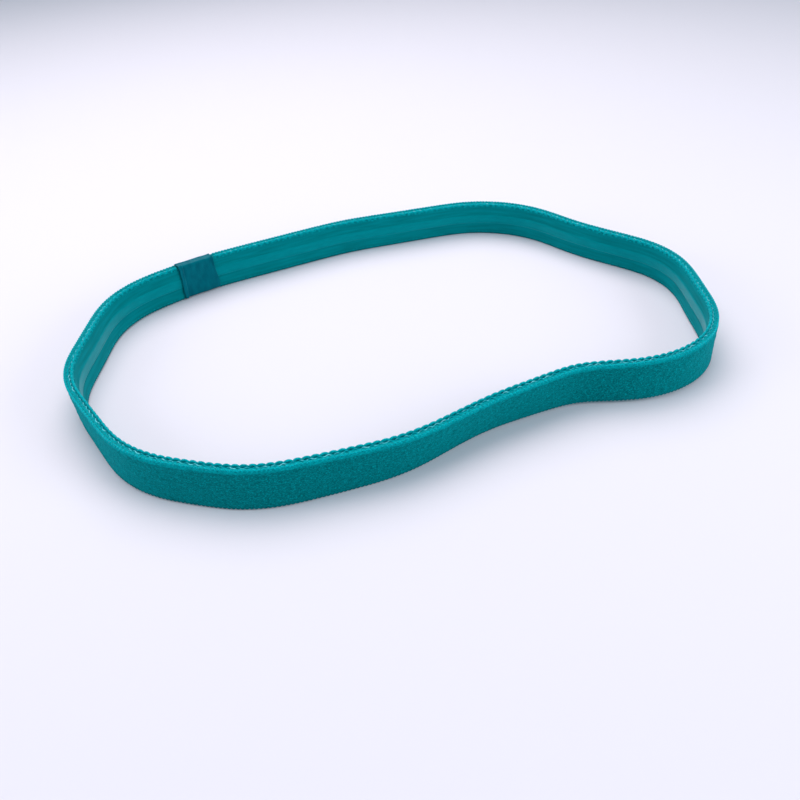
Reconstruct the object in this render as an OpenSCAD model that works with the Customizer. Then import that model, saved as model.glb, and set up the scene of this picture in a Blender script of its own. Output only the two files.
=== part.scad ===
// A narrow elastic hair band: one length of picot-edged elastic strap, its two ends
// butted and sewn, the seam wrapped in satin ribbon, a silicone grip stripe inside.
// Units are mm. +Z is up: the strap stands on its lower edge, as it lies on a table.
// The origin is under the middle of the loop's outline, on the plane it rests on.

/* [Strap] */

// height of the strap, from picot edge to picot edge
strap_width = 10; // [6:0.5:20]
// thickness of the strap, from the inner face to the brushed outer face
strap_thickness = 2.2; // [1.4:0.1:4]
// height of each scalloped picot edge
picot_height = 0.9; // [0.5:0.1:1.5]
// thickness of each picot edge
picot_thickness = 1.6; // [0.8:0.1:2.4]

/* [Yarn layers] */

// depth of the brushed pile on the outer face
pile_depth = 0.6; // [0.3:0.1:1]
// depth of the knitted web that the pile grows from
web_depth = 0.3; // [0.2:0.1:0.6]
// depth of the smooth knitted layer on the inner face
backing_depth = 0.7; // [0.4:0.1:1]
// number of rubber threads running along the strap
rubber_count = 7; // [3:1:12]
// height of one rubber thread
rubber_height = 0.5; // [0.3:0.1:0.8]

/* [Silicone grip] */

// width of the silicone stripe on the inner face
grip_width = 3; // [1:0.5:6]
// how far the stripe stands proud of the inner face
grip_height = 0.3; // [0.1:0.05:0.8]

/* [Join] */

// gap between the butted ends of the strap
butt_gap = 0.4; // [0.3:0.1:1]
// length of the ribbon wrap along the strap
ribbon_length = 11; // [6:0.5:13]
// thickness of one layer of ribbon
ribbon_thickness = 0.25; // [0.15:0.05:0.5]
// how far the ribbon stands above the upper picot edge
ribbon_rise = 0.3; // [0:0.1:0.6]
// height of the ribbon's loose end where it laps over itself, on the outer side
ribbon_lap = 6; // [2:0.5:8]
// width of the folded hem at the ribbon's end
hem_width = 0.7; // [0.4:0.1:1.5]
// number of stitches across the butted ends, on each face
stitch_count = 8; // [4:1:12]
// length of one stitch
stitch_length = 4; // [2:0.5:6]
// thickness of the sewing thread
thread_thickness = 0.2; // [0.1:0.05:0.3]

/* [Lie of the loop] */

// direction of the join, seen from the middle of the bend it sits on
join_direction = 124; // [120:0.5:126]
// angle between neighbouring points on a bend
bend_step = 5; // [2:1:10]

/* [Hidden] */

// The relaxed strap lies like a belt round these circles, taken counter-clockwise.
// Each is [x, y, radius, side]: side 1 bends left round it, side -1 bends right.
BENDS = [
    [-51, -16, 26, 1],
    [-40, -29, 28, 1],
    [-31, -26, 33, 1],
    [-17, -15, 40, 1],
    [47, -91, 59, -1],
    [43, -47, 17, -1],
    [50, -4, 26, 1],
    [54, 12, 23, 1],
    [96, 86, 61, -1],
    [24, 27, 32, 1],
    [7, -8, 62, 1],
    [-16, -30, 72, 1],
    [-49, 1, 27, 1]
];
JOIN_BEND = 11;

TEAL = "#0a7f88";
DARK_TEAL = "#07636f";
BRIGHT_TEAL = "#17a3ad";
CLEAR = "#8fc9cd";
RUBBER = "#d9d2bd";

// Faces of the layers, as offsets from the strap's centreline, outward positive.
outer_face = strap_thickness / 2;
inner_face = -strap_thickness / 2;
pile_root = outer_face - pile_depth;
web_root = pile_root - web_depth;
backing_root = inner_face + backing_depth;

// Heights of the layers' edges: the picot edges close the strap above and below.
layer_bottom = picot_height;
layer_top = strap_width - picot_height;
layer_height = layer_top - layer_bottom;
rubber_pitch = layer_height / rubber_count;

join_radius = BENDS[JOIN_BEND][2];
ribbon_clearance = 0.05;
ribbon_inner_face = inner_face - grip_height - ribbon_clearance - ribbon_thickness;
ribbon_top = strap_width + ribbon_rise;

function mm_to_degrees(length) = length / join_radius * 180 / PI;

// ---- The centreline: arcs round the circles, joined by their common tangents ----

function unit(angle) = [cos(angle), sin(angle)];
function next(i) = (i + 1) % len(BENDS);
function previous(i) = (i + len(BENDS) - 1) % len(BENDS);
function centre(i) = [BENDS[i].x, BENDS[i].y];
function signed_radius(i) = BENDS[i][2] * BENDS[i][3];

// The strap's right-hand normal, which points out of the loop, on the straight after bend i.
function normal_after(i) =
    let (to_next = centre(next(i)) - centre(i))
    let (radius_step = signed_radius(i) - signed_radius(next(i)))
    atan2(to_next.y, to_next.x) - acos(radius_step / norm(to_next));

// The same angle, brought between -180 and 180.
function wrapped(angle) = angle - 360 * round(angle / 360);

// The angle turned through on bend i.
function turn(i) = wrapped(normal_after(i) - normal_after(previous(i)));

// Normals from one angle to another on a bend, in even steps no larger than bend_step.
function spread(from, to) =
    let (steps = max(1, ceil(abs(to - from) / bend_step)))
    [for (k = [0 : steps]) from + (to - from) * k / steps];

// Points of bend i for the given normals, moved outward by the offset.
function bend_points(i, normals, offset) =
    [for (angle = normals) centre(i) + (signed_radius(i) + offset) * unit(angle)];

// The strap's line at an offset, from one side of the join round the loop to the other.
function strap_line(offset, gap) =
    let (half_gap = mm_to_degrees(gap) / 2)
    let (first = normal_after(previous(JOIN_BEND)))
    let (start = join_direction + half_gap)
    let (leave = first + turn(JOIN_BEND))
    [
        each bend_points(JOIN_BEND, spread(start, start + wrapped(leave - start)), offset),
        for (k = [1 : len(BENDS) - 1])
            let (i = (JOIN_BEND + k) % len(BENDS))
            let (arrive = normal_after(previous(i)))
            each bend_points(i, spread(arrive, arrive + turn(i)), offset),
        each bend_points(
            JOIN_BEND,
            spread(first, first + wrapped(join_direction - half_gap - first)),
            offset
        )
    ];

function reversed(list) = [for (k = [len(list) - 1 : -1 : 0]) list[k]];

// A strip that follows the whole strap, between two offsets and two heights.
module strip(inner, outer, bottom, top, gap = butt_gap) {
    translate([0, 0, bottom])
        linear_extrude(top - bottom)
            polygon([each strap_line(outer, gap), each reversed(strap_line(inner, gap))]);
}

// Sweeps a cross-section, drawn with its offset across and its height up, round the join's
// bend, between two lengths measured along the strap from the seam.
module join_sweep(from, to) {
    first = mm_to_degrees(from);
    last = mm_to_degrees(to);
    translate([centre(JOIN_BEND).x, centre(JOIN_BEND).y, 0])
        rotate([0, 0, join_direction + first])
            rotate_extrude(angle = last - first, $fn = 360)
                translate([join_radius, 0])
                    children();
}

// ---- The strap ----

// Brushed loops of face yarn, the fuzzy outer side.
module pile_face() {
    color(TEAL)
        strip(pile_root, outer_face, layer_bottom, layer_top);
}

// The knitted web that holds the pile.
module ground_web() {
    color(DARK_TEAL)
        strip(web_root, pile_root, layer_bottom, layer_top);
}

// Stretched rubber threads, the part that makes the strap elastic.
module rubber_threads() {
    color(RUBBER)
        for (k = [0 : rubber_count - 1]) {
            middle = layer_bottom + (k + 0.5) * rubber_pitch;
            strip(backing_root, web_root, middle - rubber_height / 2, middle + rubber_height / 2);
        }
}

// Yarn between the rubber threads, tying the web to the backing.
module binder_yarn() {
    half_rubber = rubber_height / 2;
    color(DARK_TEAL)
        for (k = [0 : rubber_count]) {
            below = layer_bottom + (k - 0.5) * rubber_pitch + half_rubber;
            above = layer_bottom + (k + 0.5) * rubber_pitch - half_rubber;
            strip(backing_root, web_root, max(below, layer_bottom), min(above, layer_top));
        }
}

// Smooth knitted yarn on the side that lies on the hair.
module inner_backing() {
    color(TEAL)
        strip(inner_face, backing_root, layer_bottom, layer_top);
}

// A picot edge runs from one end of the ribbon to the other. Its loops are pressed
// flat under the ribbon, so it stops there.
module picot_edge(bottom) {
    color(BRIGHT_TEAL)
        strip(
            -picot_thickness / 2,
            picot_thickness / 2,
            bottom,
            bottom + picot_height,
            ribbon_length + 2 * ribbon_clearance
        );
}

module picot_edge_top() {
    picot_edge(layer_top);
}

module picot_edge_bottom() {
    picot_edge(0);
}

// A bead of clear silicone printed along the middle of the inner face. It stops short
// of the stitches.
module silicone_grip() {
    middle = strap_width / 2;
    color(CLEAR)
        strip(
            inner_face - grip_height,
            inner_face,
            middle - grip_width / 2,
            middle + grip_width / 2,
            stitch_length + 1
        );
}

// ---- The join ----

// One row of stitches across the butted ends, starting at an offset from the centreline.
module stitch_row(inner) {
    pitch = layer_height / stitch_count;
    color(DARK_TEAL)
        join_sweep(-stitch_length / 2, stitch_length / 2)
            for (k = [0 : stitch_count - 1])
                translate([inner, layer_bottom + (k + 0.5) * pitch - thread_thickness / 2])
                    square(thread_thickness);
}

module stitches_outer() {
    stitch_row(outer_face);
}

module stitches_inner() {
    stitch_row(inner_face - thread_thickness);
}

// Cross-section of the ribbon: wound once round the strap from the outer side, down, under,
// up the inner side and over the top, so that its end laps over its start.
module ribbon_section() {
    strap_outside = outer_face + thread_thickness + ribbon_clearance;
    start_outside = strap_outside + ribbon_thickness;
    lap_inside = start_outside + ribbon_clearance;
    lap_outside = lap_inside + ribbon_thickness;
    lap_bottom = (strap_width - ribbon_lap) / 2;
    lap_top = lap_bottom + ribbon_lap;

    polygon([
        [lap_outside, lap_bottom],
        [lap_outside, ribbon_top],
        [ribbon_inner_face, ribbon_top],
        [ribbon_inner_face, 0],
        [start_outside, 0],
        [start_outside, lap_top],
        [strap_outside, lap_top],
        [strap_outside, ribbon_thickness],
        [ribbon_inner_face + ribbon_thickness, ribbon_thickness],
        [ribbon_inner_face + ribbon_thickness, ribbon_top - ribbon_thickness],
        [lap_inside, ribbon_top - ribbon_thickness],
        [lap_inside, lap_bottom]
    ]);
}

// Cross-section of the hem: one more layer on the inner side. It reaches half-way into the
// layer under it, so the two are one solid.
module hem_section() {
    translate([ribbon_inner_face - ribbon_thickness, 0])
        square([1.5 * ribbon_thickness, ribbon_top]);
}

// Satin ribbon wound round the seam, with a folded hem near one end of its inner side.
module join_ribbon() {
    half_length = ribbon_length / 2;
    hem_end = half_length - ribbon_clearance;
    color(DARK_TEAL) {
        join_sweep(-half_length, half_length)
            ribbon_section();
        join_sweep(hem_end - hem_width, hem_end)
            hem_section();
    }
}

pile_face();
ground_web();
rubber_threads();
binder_yarn();
inner_backing();
picot_edge_top();
picot_edge_bottom();
silicone_grip();
stitches_outer();
stitches_inner();
join_ribbon();
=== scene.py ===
"""A narrow elastic hair band, standing on its edge on a pale table.

The strap's pieces are swept along the same line that the CAD strap follows. A point of the
strap is given as (along, out, up) in millimetres: along the strap from the join, out from the
middle of its thickness, and up from its lower edge. lie() turns that into the row frame.
"""

import math

import bpy
import numpy as np
from mathutils import Matrix, Vector


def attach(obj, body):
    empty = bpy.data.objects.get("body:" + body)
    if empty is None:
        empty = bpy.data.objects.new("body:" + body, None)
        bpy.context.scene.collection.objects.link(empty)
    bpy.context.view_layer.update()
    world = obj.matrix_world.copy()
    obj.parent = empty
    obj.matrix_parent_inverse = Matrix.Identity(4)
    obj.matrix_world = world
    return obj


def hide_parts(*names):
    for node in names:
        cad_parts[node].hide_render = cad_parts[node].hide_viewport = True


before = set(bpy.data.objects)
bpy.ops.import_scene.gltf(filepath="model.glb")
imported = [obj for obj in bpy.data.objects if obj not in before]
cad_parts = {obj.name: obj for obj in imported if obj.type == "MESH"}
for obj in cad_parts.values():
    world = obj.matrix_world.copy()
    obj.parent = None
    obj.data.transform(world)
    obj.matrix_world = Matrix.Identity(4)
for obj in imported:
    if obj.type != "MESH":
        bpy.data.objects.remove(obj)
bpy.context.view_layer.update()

MM = 0.001

# ---- Sizes, in millimetres, as in the CAD model ----

STRAP_WIDTH = 10.0
STRAP_THICKNESS = 2.2
PICOT_PITCH = 1.8
RIBBON_LENGTH = 11.0
RIBBON_HALF = RIBBON_LENGTH / 2
GRIP_WIDTH = 3.0
RUBBER_COUNT = 7
PICOT_HEIGHT = 0.9
BUTT_GAP = 0.4
STITCH_COUNT = 8
# Points on the strap's middle line.
LINE_POINTS = 1712

# The strap lies like a belt round these circles, counter-clockwise: x, y, radius, and side,
# which is 1 where the strap bends left round the circle and -1 where it bends right.
# A program fitted them to the photo's outline, and they were then rounded. The first values of LEAN
# and SWAY came about in the same way.
BENDS = [
    (-51, -16, 26, 1),
    (-40, -29, 28, 1),
    (-31, -26, 33, 1),
    (-17, -15, 40, 1),
    (47, -91, 59, -1),
    (43, -47, 17, -1),
    (50, -4, 26, 1),
    (54, 12, 23, 1),
    (96, 86, 61, -1),
    (24, 27, 32, 1),
    (7, -8, 62, 1),
    (-16, -30, 72, 1),
    (-49, 1, 27, 1),
]
JOIN_BEND = 11
JOIN_DIRECTION = math.radians(124)

# How the soft strap strays from the upright CAD strap, at even steps from the join.
# Lean is in degrees, positive with the upper edge outward. Sway is in mm, outward.
LEAN = [0, 3, 7, 5, 0, -5, -4, 3, 16, 7, -6, -3, 6, -6, -2, -4, -5, -4, 3, 1]
SWAY = [
    *(-0.2, 0.5, -0.4, -0.1, -1.1, -1.0, 0, -0.4, 0.0, 0.2),
    *(0.3, 2.1, 0.6, 0, -0.4, 0.3, 0, -0.3, -0.1, 0),
]
# How far the lower edge lifts off the table, in mm.
LIFT = [0, 0, 0, 0, 0, 0, 0, 0, 0, 0.6, 0.6, 0.4, 0, 0, 0, 0, 0, 0, 0, 0]


# ---- The line that the strap follows ----


def unit(angle):
    return np.array([math.cos(angle), math.sin(angle)])


def signed_radius(bend):
    return bend[2] * bend[3]


def normal_after(i):
    """The angle of the outward normal on the straight that follows bend i."""
    here = BENDS[i]
    there = BENDS[(i + 1) % len(BENDS)]
    dx = there[0] - here[0]
    dy = there[1] - here[1]
    radius_step = signed_radius(here) - signed_radius(there)
    return math.atan2(dy, dx) - math.acos(radius_step / math.hypot(dx, dy))


def bend_arc(i, step=0.5):
    """Points round bend i, about one every step millimetres."""
    first = normal_after(i - 1)
    turned = math.remainder(normal_after(i) - first, math.tau)
    count = max(2, int(abs(turned) * BENDS[i][2] / step))
    centre = np.array(BENDS[i][:2], float)
    return [
        centre + signed_radius(BENDS[i]) * unit(first + turned * k / count)
        for k in range(count + 1)
    ]


def round_filter(values, spread):
    """A closed run of values, smoothed over about spread samples."""
    count = len(values)
    frequency = np.fft.fftfreq(count)
    weight = np.exp(-2 * (math.pi * frequency * spread) ** 2)
    spectrum = np.fft.fft(values, axis=0)
    weight = weight.reshape((count,) + (1,) * (values.ndim - 1))
    return np.real(np.fft.ifft(spectrum * weight, axis=0))


def closed_lengths(points):
    gaps = np.linalg.norm(np.roll(points, -1, axis=0) - points, axis=1)
    return np.concatenate([[0], np.cumsum(gaps)])


def even_line(points, count):
    """A closed line of count points at even distances along the given one."""
    lengths = closed_lengths(points)
    wanted = np.linspace(0, lengths[-1], count, endpoint=False)
    closed = np.vstack([points, points[:1]])
    return np.column_stack([np.interp(wanted, lengths, closed[:, k]) for k in (0, 1)])


def strap_line():
    """The strap's middle line, from the join, one point every quarter of a millimetre."""
    points = np.array([p for i in range(len(BENDS)) for p in bend_arc(i)])
    line = even_line(points, LINE_POINTS)
    join = np.array(BENDS[JOIN_BEND][:2]) + BENDS[JOIN_BEND][2] * unit(JOIN_DIRECTION)
    nearest = int(np.argmin(np.linalg.norm(line - join, axis=1)))
    # Smoothing takes away the jumps in curvature where arcs meet straights.
    return round_filter(np.roll(line, -nearest, axis=0), 12)


def closed_normals(points):
    """The unit normal at each point of a closed line, out to the right of its direction."""
    tangent = np.roll(points, -1, axis=0) - np.roll(points, 1, axis=0)
    tangent /= np.linalg.norm(tangent, axis=1)[:, None]
    return np.column_stack([tangent[:, 1], -tangent[:, 0]])


LINE = strap_line()
LINE_AT = closed_lengths(LINE)
LENGTH = LINE_AT[-1]
NORMAL = closed_normals(LINE)


def round_table(values, along):
    """A smooth closed curve through even steps of the strap, read at the places along it."""
    values = np.asarray(values, float)
    place = np.asarray(along) / LENGTH * len(values)
    start = np.floor(place).astype(int)
    t = place - start
    weights = (
        (1 - t) ** 3 / 6,
        (3 * t**3 - 6 * t**2 + 4) / 6,
        (-3 * t**3 + 3 * t**2 + 3 * t + 1) / 6,
        t**3 / 6,
    )
    return sum(w * values[(start + k - 1) % len(values)] for k, w in enumerate(weights))


def on_line(values, along):
    """One column of LINE or NORMAL, read at the places along the strap."""
    return np.interp(np.mod(along, LENGTH), LINE_AT, np.append(values, values[0]))


def lie(along, out, up):
    """Points of the strap in the row frame, in metres."""
    along, out, up = np.broadcast_arrays(*(np.asarray(v, float) for v in (along, out, up)))
    lean = np.radians(round_table(LEAN, along))
    above_middle = up - STRAP_WIDTH / 2
    sideways = out * np.cos(lean) + above_middle * np.sin(lean) + round_table(SWAY, along)
    # A leaning strap still touches the table with its lowest corner.
    lowest = -STRAP_WIDTH / 2 * np.cos(lean) - STRAP_THICKNESS / 2 * np.abs(np.sin(lean))
    height = above_middle * np.cos(lean) - out * np.sin(lean) - lowest
    x = on_line(LINE[:, 0], along) + on_line(NORMAL[:, 0], along) * sideways
    y = on_line(LINE[:, 1], along) + on_line(NORMAL[:, 1], along) * sideways
    z = height + round_table(LIFT, along)
    return np.stack([x, y, z], axis=-1) * MM


# ---- Mesh helpers ----


def grid_faces(rows, columns, wrap_columns, first=0):
    """Quads of a grid of points stored row by row."""
    last = columns if wrap_columns else columns - 1
    i, j = np.meshgrid(np.arange(rows - 1), np.arange(last), indexing="ij")
    k = (j + 1) % columns
    quads = np.stack(
        [i * columns + j, (i + 1) * columns + j, (i + 1) * columns + k, i * columns + k],
        axis=-1,
    )
    return first + quads.reshape(-1, 4)


def new_piece(name, points, quads, uv, material, caps=()):
    """A smooth-shaded mesh object. uv holds one (along, across) pair in millimetres a point."""
    faces = [tuple(q) for q in quads.tolist()] + [tuple(c) for c in caps]
    mesh = bpy.data.meshes.new(name)
    mesh.from_pydata(points.reshape(-1, 3).tolist(), [], faces)
    layer = mesh.uv_layers.new(name="strap")
    corner = np.empty(len(mesh.loops), np.int32)
    mesh.loops.foreach_get("vertex_index", corner)
    layer.data.foreach_set("uv", uv.reshape(-1, 2)[corner].astype(np.float32).ravel())
    mesh.polygons.foreach_set("use_smooth", np.ones(len(mesh.polygons), bool))
    mesh.materials.append(material)
    mesh.validate()
    piece = bpy.data.objects.new(name, mesh)
    bpy.context.scene.collection.objects.link(piece)
    return piece


def profile_lengths(profile):
    steps = np.linalg.norm(np.diff(profile, axis=0), axis=1)
    return np.concatenate([[0], np.cumsum(steps)])


def corner_curve(before, corner, after, count):
    """Points round one corner (out, up, radius) that lies between two others."""
    here = np.array(corner[:2], float)
    back = np.array(before[:2]) - here
    ahead = np.array(after[:2]) - here
    start = here + back / np.linalg.norm(back) * corner[2]
    end = here + ahead / np.linalg.norm(ahead) * corner[2]
    return [
        (1 - t) ** 2 * start + 2 * t * (1 - t) * here + t**2 * end
        for t in np.linspace(0, 1, count)
    ]


def rounded(corners, per_corner=6):
    """A closed profile through the corners, each one rounded off."""
    points = []
    for i, corner in enumerate(corners):
        after = corners[(i + 1) % len(corners)]
        points += corner_curve(corners[i - 1], corner, after, per_corner)
    return np.array(points)


def refined(profile, step, hidden=-math.inf):
    """A closed profile with its straights divided, apart from any inward of hidden."""
    points = []
    for here, there in zip(profile, np.roll(profile, -1, axis=0)):
        long = np.linalg.norm(there - here)
        seen = max(here[0], there[0]) > hidden
        count = max(1, int(long / step)) if seen else 1
        points += [here + (there - here) * k / count for k in range(count)]
    return np.array(points)


def swept(name, along, profile, material, swell=None):
    """The profile swept along the strap, with flat ends.

    The profile's points go round from the outer side up and over to the inner side.
    swell(along, out, up) gives how far each point moves along the profile's own normal.
    """
    away = closed_normals(profile)
    rows, columns = len(along), len(profile)
    s = np.repeat(along[:, None], columns, axis=1)
    out = np.repeat(profile[None, :, 0], rows, axis=0)
    up = np.repeat(profile[None, :, 1], rows, axis=0)
    if swell is not None:
        grow = swell(s, out, up)
        out = out + away[None, :, 0] * grow
        up = up + away[None, :, 1] * grow
    across = np.repeat(profile_lengths(profile)[None, :], rows, axis=0)
    start_cap = list(range(columns))
    end_cap = list(range((rows - 1) * columns, rows * columns))[::-1]
    quads = grid_faces(rows, columns, True)
    uv = np.stack([s, across], axis=-1)
    return new_piece(name, lie(s, out, up), quads, uv, material, [start_cap, end_cap])


def yarn(name, runs, radius, material, sides=6):
    """Round yarns, one for each run of (along, out, up) points, as one piece."""
    points, quads, uvs, caps, first = [], [], [], [], 0
    turn = np.arange(sides) / sides * math.tau
    for run in runs:
        step = np.gradient(run, axis=0)
        step /= np.linalg.norm(step, axis=1)[:, None]
        side = np.cross(step, [0.0, 0.0, 1.0]) + np.array([0.0, 1e-3, 0.0])
        side /= np.linalg.norm(side, axis=1)[:, None]
        other = np.cross(step, side)
        ring = (
            side[:, None, :] * np.cos(turn)[None, :, None]
            + other[:, None, :] * np.sin(turn)[None, :, None]
        )
        tube = run[:, None, :] + radius * ring
        points.append(lie(tube[..., 0], tube[..., 1], tube[..., 2]).reshape(-1, 3))
        length = profile_lengths(run)
        around = turn * radius
        uvs.append(
            np.stack(np.broadcast_arrays(length[:, None], around[None, :]), axis=-1).reshape(-1, 2)
        )
        quads.append(grid_faces(len(run), sides, True, first))
        caps.append([first + k for k in range(sides)])
        caps.append([first + (len(run) - 1) * sides + k for k in range(sides)][::-1])
        first += len(run) * sides
    return new_piece(name, np.vstack(points), np.vstack(quads), np.vstack(uvs), material, caps)


def speckle(rows, columns, row_spread, column_spread, seed):
    """Smooth random values of unit size on a grid, the same ones each time."""
    field = np.random.default_rng(seed).normal(size=(rows, columns))
    field = round_filter(field, row_spread)
    field = round_filter(field.T.copy(), column_spread).T
    return field / field.std()


# ---- Materials ----


class Nodes:
    """A material's node tree, with short calls for the nodes that the fabrics share."""

    def __init__(self, name):
        self.material = bpy.data.materials.new(name)
        self.material.use_nodes = True
        self.tree = self.material.node_tree
        self.shader = self.tree.nodes["Principled BSDF"]
        uv = self.tree.nodes.new("ShaderNodeUVMap")
        uv.uv_map = "strap"
        self.uv = uv.outputs["UV"]

    def link(self, source, target):
        self.tree.links.new(source, target)

    def stretched(self, along, across):
        node = self.tree.nodes.new("ShaderNodeMapping")
        node.inputs["Scale"].default_value = (along, across, 1)
        self.link(self.uv, node.inputs["Vector"])
        return node.outputs["Vector"]

    def noise(self, vector, scale, detail=2.0, roughness=0.5):
        node = self.tree.nodes.new("ShaderNodeTexNoise")
        node.inputs["Scale"].default_value = scale
        node.inputs["Detail"].default_value = detail
        node.inputs["Roughness"].default_value = roughness
        self.link(vector, node.inputs["Vector"])
        return node.outputs["Fac"]

    def cells(self, vector, scale):
        node = self.tree.nodes.new("ShaderNodeTexVoronoi")
        node.inputs["Scale"].default_value = scale
        self.link(vector, node.inputs["Vector"])
        return node.outputs["Distance"]

    def wave(self, vector, scale, direction, distortion=0.0):
        node = self.tree.nodes.new("ShaderNodeTexWave")
        node.bands_direction = direction
        node.inputs["Scale"].default_value = scale
        node.inputs["Distortion"].default_value = distortion
        self.link(vector, node.inputs["Vector"])
        return node.outputs["Fac"]

    def rising(self, low, high):
        """0 below low and 1 above high, measured across the piece in millimetres."""
        split = self.tree.nodes.new("ShaderNodeSeparateXYZ")
        self.link(self.uv, split.inputs["Vector"])
        node = self.tree.nodes.new("ShaderNodeMapRange")
        node.interpolation_type = "SMOOTHSTEP"
        node.inputs["From Min"].default_value = low
        node.inputs["From Max"].default_value = high
        self.link(split.outputs["Y"], node.inputs["Value"])
        return node.outputs["Result"]

    def blend(self, fac, a, b):
        """Colour a where fac is 0, colour b where it is 1."""
        node = self.tree.nodes.new("ShaderNodeMix")
        node.data_type = "RGBA"
        self.link(fac, node.inputs["Factor"])
        self.link(a, node.inputs["A"])
        self.link(b, node.inputs["B"])
        return node.outputs["Result"]

    def ramp(self, fac, stops):
        node = self.tree.nodes.new("ShaderNodeValToRGB")
        for k, (position, colour) in enumerate(stops):
            elements = node.color_ramp.elements
            stop = elements[k] if k < 2 else elements.new(position)
            stop.position = position
            stop.color = (*colour, 1)
        self.link(fac, node.inputs["Fac"])
        return node.outputs["Color"]

    def combine(self, operation, a, b):
        node = self.tree.nodes.new("ShaderNodeMath")
        node.operation = operation
        for socket, value in zip(node.inputs, (a, b)):
            if isinstance(value, (int, float)):
                socket.default_value = value
            else:
                self.link(value, socket)
        return node.outputs["Value"]

    def tint(self, colour, fac, amount, low=0.0):
        """The colour darkened where fac is low: painted shade in the hollows of a bump pattern."""
        node = self.tree.nodes.new("ShaderNodeMix")
        node.data_type = "RGBA"
        node.blend_type = "MULTIPLY"
        node.inputs["Factor"].default_value = amount
        self.link(colour, node.inputs["A"])
        self.link(self.ramp(fac, [(low, (0, 0, 0)), (1, (1, 1, 1))]), node.inputs["B"])
        return node.outputs["Result"]

    def bump(self, height, distance, strength=1.0, under=None):
        node = self.tree.nodes.new("ShaderNodeBump")
        node.inputs["Distance"].default_value = distance * MM
        node.inputs["Strength"].default_value = strength
        self.link(height, node.inputs["Height"])
        if under is not None:
            self.link(under, node.inputs["Normal"])
        return node.outputs["Normal"]

    def finish(self, colour, normal, rough, specular, gloss_tint=(1, 1, 1), sheen=0.0):
        self.link(colour, self.shader.inputs["Base Color"])
        self.link(normal, self.shader.inputs["Normal"])
        if isinstance(rough, (int, float)):
            self.shader.inputs["Roughness"].default_value = rough
        else:
            self.link(rough, self.shader.inputs["Roughness"])
        self.shader.inputs["Specular IOR Level"].default_value = specular
        self.shader.inputs["Specular Tint"].default_value = (*gloss_tint, 1)
        self.shader.inputs["Sheen Weight"].default_value = sheen
        self.shader.inputs["Sheen Roughness"].default_value = 0.5
        self.shader.inputs["Sheen Tint"].default_value = (*gloss_tint, 1)
        return self.material


# Dyed yarn throws back its own colour, even where it shines.
DYE = (0.0, 0.75, 0.85)


def pile_material():
    """Brushed face yarn: mottled teal, a little streaky along the strap, matt."""
    n = Nodes("face_yarn")
    mottle = n.noise(n.stretched(0.8, 1.3), 1.2, 3.0, 0.6)
    fibre = n.noise(n.stretched(1.0, 1.8), 2.6, 3.0, 0.7)
    mix = n.combine("ADD", n.combine("MULTIPLY", mottle, 0.25), n.combine("MULTIPLY", fibre, 0.75))
    face = n.ramp(
        mix,
        [(0.36, (0.000, 0.080, 0.088)), (0.68, (0.000, 0.43, 0.46)), (0.52, (0.000, 0.165, 0.180))],
    )
    # Near the upper edge the face is painted lighter: painted light where the top of the strap
    # catches the light from above.
    edge = n.ramp(mix, [(0.36, (0.000, 0.22, 0.24)), (0.68, (0.000, 0.52, 0.58))])
    colour = n.blend(n.rising(9.3, 10.2), face, edge)
    loops = n.cells(n.stretched(1.1, 1.7), 1.7)
    normal = n.bump(fibre, 0.12, 0.8, n.bump(loops, 0.12, 0.6))
    return n.finish(colour, normal, 0.92, 0.1, DYE, 0.45)


def backing_material():
    """Smooth backing yarn: fine ribs along the strap, a slight satin sheen."""
    n = Nodes("backing_yarn")
    ribs = n.wave(n.stretched(0.0, 1.0), 0.9, "Y")
    stitches = n.wave(n.stretched(1.0, 0.12), 0.55, "X", 1.0)
    streak = n.noise(n.stretched(0.08, 0.9), 1.3, 1.0)
    colour = n.ramp(streak, [(0.3, (0.000, 0.190, 0.210)), (0.75, (0.000, 0.255, 0.280))])
    # Painted shade in the grooves between the ribs, where the bump is low.
    colour = n.tint(colour, ribs, 0.06)
    height = n.combine("ADD", ribs, n.combine("MULTIPLY", stitches, 0.6))
    normal = n.bump(height, 0.03, 0.5)
    return n.finish(colour, normal, 0.7, 0.05, DYE)


def picot_material(name, dull, bright):
    """Edge yarn: loops with a twist, their colour flecked from dull to bright."""
    n = Nodes(name)
    twist = n.wave(n.stretched(1.0, 1.0), 1.6, "DIAGONAL")
    fleck = n.noise(n.stretched(1.0, 1.0), 2.2, 2.0)
    colour = n.ramp(fleck, [(0.3, dull), (0.7, bright)])
    # Painted shade in the hollows of the twist.
    colour = n.tint(colour, twist, 0.25)
    return n.finish(colour, n.bump(twist, 0.06, 0.6), 0.55, 0.15, DYE, 0.3)


def rim_material():
    """The knitted ribs of the two edges: the same yarn, packed close."""
    n = Nodes("rim_yarn")
    stitch = n.wave(n.stretched(1.0, 0.35), 0.55, "DIAGONAL", 2.0)
    fleck = n.noise(n.stretched(1.2, 1.2), 2.2, 2.0)
    colour = n.ramp(fleck, [(0.3, (0.000, 0.19, 0.215)), (0.7, (0.000, 0.38, 0.42))])
    # Painted shade between the stitches, where the bump is low.
    colour = n.tint(colour, stitch, 0.3)
    return n.finish(colour, n.bump(stitch, 0.08, 0.6), 0.6, 0.15, DYE, 0.3)


def chain_material():
    """A shiny, lighter teal thread. Its pale flecks are painted glints, which show as a row of
    bright dashes along the upper edge.
    """
    n = Nodes("chain_thread")
    fleck = n.noise(n.stretched(1.0, 1.0), 0.9, 1.0)
    # The pale stop paints glints onto the thread.
    colour = n.ramp(fleck, [(0.45, (0.00, 0.36, 0.42)), (0.68, (0.20, 0.75, 0.82))])
    twist = n.wave(n.stretched(1.0, 1.0), 1.6, "DIAGONAL")
    return n.finish(colour, n.bump(twist, 0.03, 0.5), 0.4, 0.3, DYE)


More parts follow.
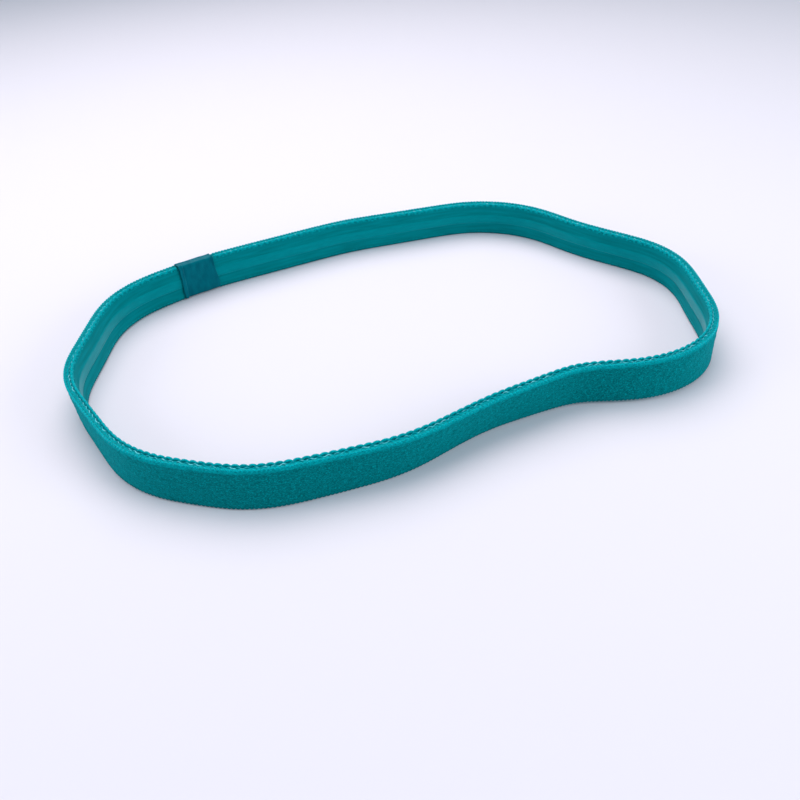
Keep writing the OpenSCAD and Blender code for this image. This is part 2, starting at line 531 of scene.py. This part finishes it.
def silicone_material():
    """Clear silicone over the teal backing: smooth and glossy."""
    n = Nodes("silicone")
    cloud = n.noise(n.stretched(0.25, 1.0), 1.2, 2.0)
    colour = n.ramp(cloud, [(0.3, (0.000, 0.225, 0.25)), (0.8, (0.000, 0.27, 0.30))])
    ripple = n.noise(n.stretched(0.6, 1.0), 1.0, 1.0)
    rough = n.combine("ADD", n.combine("MULTIPLY", cloud, 0.12), 0.25)
    return n.finish(colour, n.bump(ripple, 0.04, 0.3), rough, 0.14, DYE)


def ribbon_material():
    """Satin ribbon: threads across the strap that catch the light."""
    n = Nodes("satin_ribbon")
    weft = n.wave(n.stretched(1.0, 0.0), 1.8, "X")
    streak = n.noise(n.stretched(0.5, 0.2), 1.5, 2.0)
    colour = n.ramp(streak, [(0.3, (0.000, 0.105, 0.145)), (0.75, (0.000, 0.160, 0.205))])
    # Painted shade between the weft threads, where the bump is low.
    colour = n.tint(colour, weft, 0.06)
    return n.finish(colour, n.bump(weft, 0.02, 0.25), 0.45, 0.18, DYE)


def inner_yarn_material():
    """The knitted web and the binder yarn inside the strap."""
    n = Nodes("web_yarn")
    loops = n.cells(n.stretched(1.0, 1.0), 1.4)
    colour = n.ramp(loops, [(0.0, (0.000, 0.16, 0.19)), (0.8, (0.000, 0.08, 0.10))])
    return n.finish(colour, n.bump(loops, 0.1, 0.5), 0.85, 0.2, DYE)


def rubber_material():
    """Pale rubber thread with faint dust."""
    n = Nodes("rubber_thread")
    dust = n.noise(n.stretched(1.0, 2.0), 1.5, 3.0)
    colour = n.ramp(dust, [(0.3, (0.52, 0.47, 0.38)), (0.8, (0.66, 0.61, 0.50))])
    return n.finish(colour, n.bump(dust, 0.04, 0.4), 0.6, 0.4)


def thread_material():
    """Twisted sewing thread."""
    n = Nodes("sewing_thread")
    twist = n.wave(n.stretched(1.0, 1.0), 2.5, "DIAGONAL")
    # Darker where the twist is low: painted shade in the grooves of the twist.
    colour = n.ramp(twist, [(0.0, (0.000, 0.08, 0.11)), (1.0, (0.000, 0.16, 0.19))])
    return n.finish(colour, n.bump(twist, 0.04, 0.6), 0.5, 0.4, DYE)


# ---- The strap ----


def stations(gap, step):
    """Even places along the strap that leave a gap at the join."""
    count = int((LENGTH - gap) / step)
    return np.linspace(gap / 2, LENGTH - gap / 2, count)


def make_pile():
    """The brushed outer layer. Its two edges tuck in under the knitted edges."""
    low = 0.35
    high = STRAP_WIDTH - 0.3
    corners = [
        (0.1, low, 0.1),
        (1.13, low, 0.4),
        (1.13, high, 0.5),
        (0.1, high, 0.1),
    ]
    profile = refined(rounded(corners, 6), 0.28, hidden=0.3)
    along = stations(BUTT_GAP, 0.28)
    rows, columns = len(along), len(profile)
    fine = speckle(rows, columns, 0.8, 0.8, 1)
    coarse = speckle(rows, columns, 3.0, 2.0, 2)

    def swell(s, out, up):
        outer = np.clip((out - 0.3) / 0.4, 0, 1)
        return outer * (0.035 * fine + 0.03 * coarse)

    return swept("pile", along, profile, pile_material(), swell)


def make_backing():
    """The smooth inner layer, with a shallow channel each side of the silicone."""
    low = PICOT_HEIGHT - 0.2
    high = STRAP_WIDTH - PICOT_HEIGHT + 0.2
    corners = [
        (-0.4, low, 0.1),
        (-0.4, high, 0.1),
        (-1.1, high, 0.3),
        (-1.1, low, 0.3),
    ]
    profile = refined(rounded(corners, 7), 0.4)
    along = stations(BUTT_GAP, 0.5)
    middle = STRAP_WIDTH / 2

    def swell(s, out, up):
        inner = np.clip((-0.6 - out) / 0.4, 0, 1)
        beside = np.abs(np.abs(up - middle) - GRIP_WIDTH / 2 - 0.15)
        return -0.03 * inner * np.exp(-((beside / 0.5) ** 2))

    return swept("backing", along, profile, backing_material(), swell)


def make_rim(name, corners, material, seed):
    """A knitted edge: a firm rib over one edge of the layers, dimpled by its stitches."""
    profile = refined(rounded(corners, 7), 0.2)
    # The knitted edges run on a little way under the ribbon.
    along = stations(RIBBON_LENGTH - 1.4, 0.25)
    rough = speckle(len(along), len(profile), 0.9, 0.8, seed)

    def swell(s, out, up):
        stitch = np.cos(s / PICOT_PITCH * 2 * math.tau) * np.cos(out * 4)
        return 0.03 * stitch + 0.035 * rough

    return swept(name, along, profile, material, swell)


def make_rims(material):
    top_corners = [
        (0.7, 9.0, 0.05),
        (1.02, 9.88, 0.3),
        (0.45, 9.85, 0.15),
        (0.15, 9.55, 0.15),
        (-0.9, 9.6, 0.25),
        (-1.09, 9.0, 0.1),
    ]
    bottom_corners = [
        (-1.09, 0.9, 0.1),
        (-1.03, 0.2, 0.25),
        (1.03, 0.2, 0.25),
        (0.8, 0.9, 0.05),
    ]
    top = make_rim("rim_top", top_corners, material, 11)
    bottom = make_rim("rim_bottom", bottom_corners, material, 12)
    return top, bottom


def winding(pitch, per_turn):
    """The angles and places of a yarn that turns once every pitch, clear of the ribbon."""
    gap = RIBBON_LENGTH + 0.1
    count = int((LENGTH - gap) / pitch)
    turns = np.linspace(0, count * math.tau, count * per_turn + 1)
    along = gap / 2 + turns / turns[-1] * (LENGTH - gap)
    return turns, along


def arches(pitch, width, out, foot, top):
    """One yarn that turns over at each loop: a row of round arches from foot to top."""
    turns, along = winding(pitch, 14)
    swing = (width - pitch / 2) / 2
    run_along = along - swing * np.sin(turns)
    rise = (1 - np.cos(turns)) / 2
    return np.column_stack([run_along, np.full_like(rise, out), foot + (top - foot) * rise])


def coil(pitch, out, up, radius):
    """A yarn wound along the strap, which shows as a row of short stitches."""
    turns, along = winding(pitch, 12)
    return np.column_stack([along, out + radius * np.sin(turns), up + radius * np.cos(turns)])


def make_picots(material, shaded_material):
    """Round loops on the upper edge's inner rim, and finer ones along the other rims."""
    fine = PICOT_PITCH / 2
    inner_row = arches(PICOT_PITCH, 1.4, -0.72, 9.3, 9.9)
    outer_row = arches(fine, 0.62, 0.92, 9.6, 9.9)
    lower_rows = [
        arches(fine, 0.6, 0.97, 0.5, 0.22),
        arches(fine, 0.6, -0.95, 0.5, 0.22),
    ]
    loops = yarn("picot_top", [inner_row], 0.28, material)
    upper = yarn("picot_top_outer", [outer_row], 0.2, material)
    # The lower rows take the darker copy of the edge yarn: painted shade along the lower edge.
    lower = yarn("picot_bottom", lower_rows, 0.2, shaded_material)
    return loops, upper, lower


def make_chain():
    """The shiny thread that holds the loops, between the two rims of the upper edge."""
    return yarn("chain", [coil(PICOT_PITCH, -0.12, 9.62, 0.14)], 0.12, chain_material())


def make_grip():
    """The silicone bead: a low dome with slightly wandering edges."""
    half = GRIP_WIDTH / 2
    middle = STRAP_WIDTH / 2
    corners = [
        (-0.95, middle - half, 0.1),
        (-0.95, middle + half, 0.1),
        (-1.22, middle + half, 0.6),
        (-1.22, middle - half, 0.6),
    ]
    profile = refined(rounded(corners, 5), 0.5)
    along = stations(5.0, 0.6)
    wander = speckle(len(along), 1, 8, 0, 3)

    def swell(s, out, up):
        return 0.03 * wander * np.sign(up - middle) * (np.abs(up - middle) > half - 0.3)

    return swept("grip", along, profile, silicone_material(), swell)


def make_insides():
    """The web, the rubber threads and the yarn between them, which no view shows."""
    low = PICOT_HEIGHT
    high = STRAP_WIDTH - PICOT_HEIGHT
    along = stations(BUTT_GAP, 1.0)
    corners = [
        (0.0, low, 0.05),
        (0.28, low, 0.05),
        (0.28, high, 0.05),
        (0.0, high, 0.05),
    ]
    web = swept("web", along, refined(rounded(corners, 3), 0.8), inner_yarn_material())
    pitch = (high - low) / RUBBER_COUNT
    threads = []
    for k in range(RUBBER_COUNT):
        z = low + (k + 0.5) * pitch
        threads.append(np.column_stack([along, np.full_like(along, -0.2), np.full_like(along, z)]))
    rubber = yarn("rubber", threads, 0.2, rubber_material())
    ties = []
    for k in range(RUBBER_COUNT + 1):
        z = min(max(low + k * pitch, low + 0.15), high - 0.15)
        wave = 0.05 * np.sin(along * math.tau / 3 + k)
        ties.append(np.column_stack([along, -0.2 + wave, np.full_like(along, z)]))
    binder = yarn("binder", ties, 0.14, web.data.materials[0])
    return web, rubber, binder


# ---- The join ----


def ribbon_section(count=96):
    """The ribbon's path: down the outer side, round the strap and over its own start."""
    corners = [
        (1.4, 8.0, 0.0),
        (1.4, 0.12, 0.7),
        (-1.5, 0.12, 0.7),
        (-1.5, 10.2, 0.9),
        (1.66, 10.2, 0.9),
        (1.66, 2.0, 0.0),
    ]
    path = [np.array(corners[0][:2])]
    for before, corner, after in zip(corners, corners[1:], corners[2:]):
        path += corner_curve(before, corner, after, 8)
    path = np.array(path + [np.array(corners[-1][:2])])
    lengths = profile_lengths(path)
    wanted = np.linspace(0, lengths[-1], count)
    return np.column_stack([np.interp(wanted, lengths, path[:, k]) for k in (0, 1)])


def smooth_step(low, high, x):
    t = np.clip((x - low) / (high - low), 0, 1)
    return t * t * (3 - 2 * t)


def make_ribbon():
    """Satin ribbon wound round the seam, its folded hem at one end of the inner side."""
    section = ribbon_section()
    ahead = np.gradient(section, axis=0)
    ahead /= np.linalg.norm(ahead, axis=1)[:, None]
    away = np.column_stack([-ahead[:, 1], ahead[:, 0]])
    along = np.linspace(-RIBBON_HALF, RIBBON_HALF, 61)
    s = np.repeat(along[:, None], len(section), axis=1)
    out = np.repeat(section[None, :, 0], len(along), axis=0)
    up = np.repeat(section[None, :, 1], len(along), axis=0)
    inner = smooth_step(0.0, 1.2, -out)
    hem = smooth_step(4.1, 4.35, s) * 0.28 - 0.12 * np.exp(-(((s - 4.1) / 0.22) ** 2))
    curl = 0.35 * smooth_step(4.7, 5.5, -s) * smooth_step(5.0, 8.5, up)
    ripple = 0.05 * speckle(len(along), len(section), 5, 4, 7)
    # One end is cut at a slant, and both wander a little.
    slant = 0.6 * smooth_step(1.5, 5.5, -s) * (up / STRAP_WIDTH - 0.5) * 2
    near_end = smooth_step(4.3, 5.5, np.abs(s)) * np.sign(s)
    s = s + slant + 0.14 * near_end * speckle(1, len(section), 0, 3, 9)
    corner = 0.1 * smooth_step(3.0, 5.4, np.abs(s)) * smooth_step(9.3, 10.2, up)
    grow = inner * (hem + curl) + ripple + corner
    out = out + away[None, :, 0] * grow
    up = np.maximum(up + away[None, :, 1] * grow, 0.05)
    across = np.repeat(profile_lengths(section)[None, :], len(along), axis=0)
    ribbon = new_piece(
        "ribbon",
        lie(s, out, up),
        grid_faces(len(along), len(section), False)[:, ::-1],
        np.stack([s, across], axis=-1),
        ribbon_material(),
    )
    body = ribbon.modifiers.new("layer", "SOLIDIFY")
    body.thickness = 0.22 * MM
    body.offset = -1
    return ribbon


def make_stitches(out, name, material):
    """Short threads across the butted ends, each bowed a little over the gap."""
    pitch = (STRAP_WIDTH - 2 * PICOT_HEIGHT) / STITCH_COUNT
    t = np.linspace(-1, 1, 13)
    bow = np.sign(out) * 0.06 * np.cos(t * math.pi / 2)
    runs = []
    for k in range(STITCH_COUNT):
        z = PICOT_HEIGHT + (k + 0.5) * pitch
        runs.append(np.column_stack([2 * t, out + bow, z + 0.12 * t]))
    return yarn(name, runs, 0.1, material)


# ---- The scene ----


def make_floor():
    mesh = bpy.data.meshes.new("floor")
    half = 1.5
    mesh.from_pydata(
        [(-half, -half, 0), (half, -half, 0), (half, half, 0), (-half, half, 0)], [], [(0, 1, 2, 3)]
    )
    floor = bpy.data.objects.new("floor", mesh)
    bpy.context.scene.collection.objects.link(floor)
    material = bpy.data.materials.new("floor")
    material.use_nodes = True
    shader = material.node_tree.nodes["Principled BSDF"]
    shader.inputs["Base Color"].default_value = (0.82, 0.775, 0.84, 1)
    shader.inputs["Roughness"].default_value = 0.7
    shader.inputs["Specular IOR Level"].default_value = 0.2
    mesh.materials.append(material)


def make_camera():
    """A near camera looking down on the band from the front."""
    distance = 186.9 * MM
    elevation = math.radians(37.7)
    roll = math.radians(-2.88)
    target = np.array([-0.3, -26.3, 0]) * MM
    forward = np.array([0, math.cos(elevation), -math.sin(elevation)])
    level = np.array([1.0, 0, 0])
    upward = np.cross(level, forward)
    right = math.cos(roll) * level + math.sin(roll) * upward
    up = math.cos(roll) * upward - math.sin(roll) * level
    data = bpy.data.cameras.new("camera")
    data.lens = 36
    data.sensor_width = 36
    data.clip_start = 0.005
    camera = bpy.data.objects.new("camera", data)
    matrix = np.eye(4)
    matrix[:3, 0] = right
    matrix[:3, 1] = up
    matrix[:3, 2] = -forward
    matrix[:3, 3] = target - forward * distance
    camera.matrix_world = Matrix(matrix.tolist())
    bpy.context.scene.collection.objects.link(camera)
    bpy.context.scene.camera = camera


def area_light(name, place, towards, size, power, colour, spread=180):
    data = bpy.data.lights.new(name, "AREA")
    data.shape = "DISK"
    data.size = size
    data.spread = math.radians(spread)
    data.energy = power
    data.color = colour
    light = bpy.data.objects.new(name, data)
    light.location = place
    aim = Vector(towards) - Vector(place)
    light.rotation_euler = aim.to_track_quat("-Z", "Y").to_euler()
    bpy.context.scene.collection.objects.link(light)


def make_lights():
    """A big soft window behind the band, and pale light all round."""
    warm = (1.0, 0.93, 0.94)
    cool = (0.95, 0.98, 1.0)
    area_light("window", (-0.08, 0.22, 0.46), (-0.01, -0.04, 0), 0.6, 1.54, warm, spread=140)
    area_light("left", (-0.5, -0.12, 0.22), (0, 0, 0), 0.3, 0.75, cool)
    area_light("right", (0.46, -0.2, 0.22), (0, 0, 0), 0.3, 1.15, cool)
    world = bpy.data.worlds.new("room")
    world.use_nodes = True
    sky = world.node_tree.nodes["Background"]
    sky.inputs["Color"].default_value = (0.72, 0.89, 1.0, 1)
    sky.inputs["Strength"].default_value = 0.49
    bpy.context.scene.world = world
    bpy.context.scene.view_settings.view_transform = "Standard"


def main():
    make_camera()
    make_floor()
    make_lights()

    # Two copies of one edge yarn: a lighter one for the upper loops, painted light where they face
    # the light from above, and a darker one for the lower loops, painted shade along the lower
    # edge.
    lit_edge_yarn = picot_material("picot_yarn", (0.000, 0.30, 0.335), (0.000, 0.58, 0.65))
    shaded_yarn = picot_material("picot_yarn_shaded", (0.000, 0.11, 0.125), (0.000, 0.25, 0.28))
    rim_top, rim_bottom = make_rims(rim_material())
    picot_top, picot_top_outer, picot_bottom = make_picots(lit_edge_yarn, shaded_yarn)
    web, rubber, binder = make_insides()
    ribbon = make_ribbon()
    thread = thread_material()
    made = [
        (make_pile(), "pile_face", "face_yarn"),
        (make_backing(), "inner_backing", "backing_yarn"),
        (rim_top, "picot_edge_top", "picot_yarn"),
        (picot_top, "picot_edge_top", "picot_yarn"),
        (picot_top_outer, "picot_edge_top", "picot_yarn"),
        (make_chain(), "picot_edge_top", "picot_yarn"),
        (rim_bottom, "picot_edge_bottom", "picot_yarn"),
        (picot_bottom, "picot_edge_bottom", "picot_yarn"),
        (make_grip(), "silicone_grip", "silicone"),
        (web, "ground_web", "web_yarn"),
        (rubber, "rubber_threads", "rubber_thread"),
        (binder, "binder_yarn", "web_yarn"),
        (ribbon, "join_ribbon", "satin_ribbon"),
        (make_stitches(1.2, "stitches_out", thread), "stitches_outer", "sewing_thread"),
        (make_stitches(-1.2, "stitches_in", thread), "stitches_inner", "sewing_thread"),
    ]
    for piece, node, slot in made:
        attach(piece, "root")
        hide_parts(node)


main()
